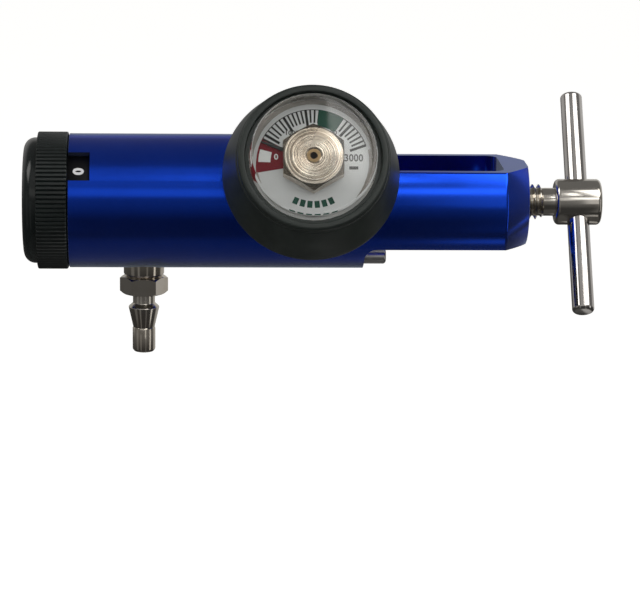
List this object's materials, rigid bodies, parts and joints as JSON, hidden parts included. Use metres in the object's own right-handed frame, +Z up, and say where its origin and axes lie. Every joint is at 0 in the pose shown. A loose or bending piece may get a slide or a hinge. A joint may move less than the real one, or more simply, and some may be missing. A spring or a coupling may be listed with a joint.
{
  "type": "oxygen regulator",
  "caption": "Yoke oxygen regulator: blue barrel with a tilted contents gauge in a rubber boot, a ribbed flow selector, a hose barb outlet and a clamping screw with a T-bar.",
  "frame": {"origin": "centre of the inlet face, on the barrel's axis, where the sealing washer sits", "axes": "+X along the barrel's axis through the yoke to the clamping screw, -Y to the gauge's side, +Z up with the outlet pointing down"},
  "size_m": [0.1497, 0.0629, 0.0741],
  "materials": {
    "anodised_blue": "blue anodised, satin",
    "nickel": "polished nickel plate",
    "brass": "machined",
    "gauge_brass": "satin nickel-plated brass",
    "steel": "plain",
    "aluminium": "machined",
    "boot_rubber": "matte",
    "seal_rubber": "soft",
    "knob_plastic": "matte, ribbed",
    "cap_plastic": "glossy",
    "dial_plastic": "printed with plain numbers",
    "slip_plastic": "plain",
    "dial_white": "printed satin white",
    "pointer_black": "matte",
    "clear": "clear polycarbonate"
  },
  "bodies": {
    "barrel": {"regulator_body": "anodised_blue", "inlet_nipple": "brass", "inlet_filter": "brass", "washer_ring": "brass", "washer_core": "seal_rubber", "index_pin_front": "steel", "index_pin_back": "steel", "outlet_fitting": "nickel", "outlet_seal": "seal_rubber", "flow_bonnet": "aluminium", "bonnet_seal": "seal_rubber", "thrust_washer": "slip_plastic", "flow_block": "brass", "block_seal": "seal_rubber", "port_seal": "seal_rubber", "detent_ball": "steel", "detent_spring": "steel", "main_spring": "steel", "gauge_seal": "seal_rubber", "gauge_stem": "brass", "gauge_case": "steel", "gauge_dial": "dial_white", "bourdon_coil": "brass", "gauge_hub": "gauge_brass", "gauge_lens": "clear", "gauge_boot": "boot_rubber"},
    "selector": {"selector_knob": "knob_plastic", "knob_cap": "cap_plastic", "flow_dial": "dial_plastic", "knob_screw": "steel", "selector_shaft": "brass", "shaft_seal": "seal_rubber", "orifice_plate": "brass"},
    "piston_group": {"piston": "brass", "piston_seal": "seal_rubber", "stem_seal": "seal_rubber", "valve_seat": "slip_plastic"},
    "pointer": {"gauge_pointer": "pointer_black"},
    "ring_carrier": {"screw_ring": "steel"},
    "clamp_screw": {"yoke_screw": "nickel", "t_bar": "nickel"}
  },
  "joints": [
    {"name": "flow_selector", "type": "hinge", "parent": "barrel", "child": "selector", "pos_m": [-0.08, 0, 0], "axis": [1, 0, 0], "range_deg": [0, 330]},
    {"name": "piston_travel", "type": "slide", "parent": "barrel", "child": "piston_group", "axis": [1, 0, 0], "range_m": [0, 0.0008], "stiffness_N_per_m": 5000, "springref_m": -0.002, "deforming": ["main_spring"]},
    {"name": "pressure_pointer", "type": "hinge", "parent": "barrel", "child": "pointer", "pos_m": [-0.0144, 0, 0], "axis": [0, -0.889, 0.4579], "range_deg": [-139.7, 14], "stiffness_Nm_per_rad": 0.0005},
    {"name": "screw_slide", "type": "slide", "parent": "barrel", "child": "ring_carrier", "axis": [1, 0, 0], "range_m": [-0.0056, 0.0044]},
    {"name": "screw_turn", "type": "hinge", "parent": "ring_carrier", "child": "clamp_screw", "pos_m": [0.056, 0, 0], "axis": [1, 0, 0], "range_deg": [-1260, 990]}
  ],
  "couplings": [
    {"joint": "screw_slide", "follows": "screw_turn", "m_per_rad": 0.00025266}
  ]
}
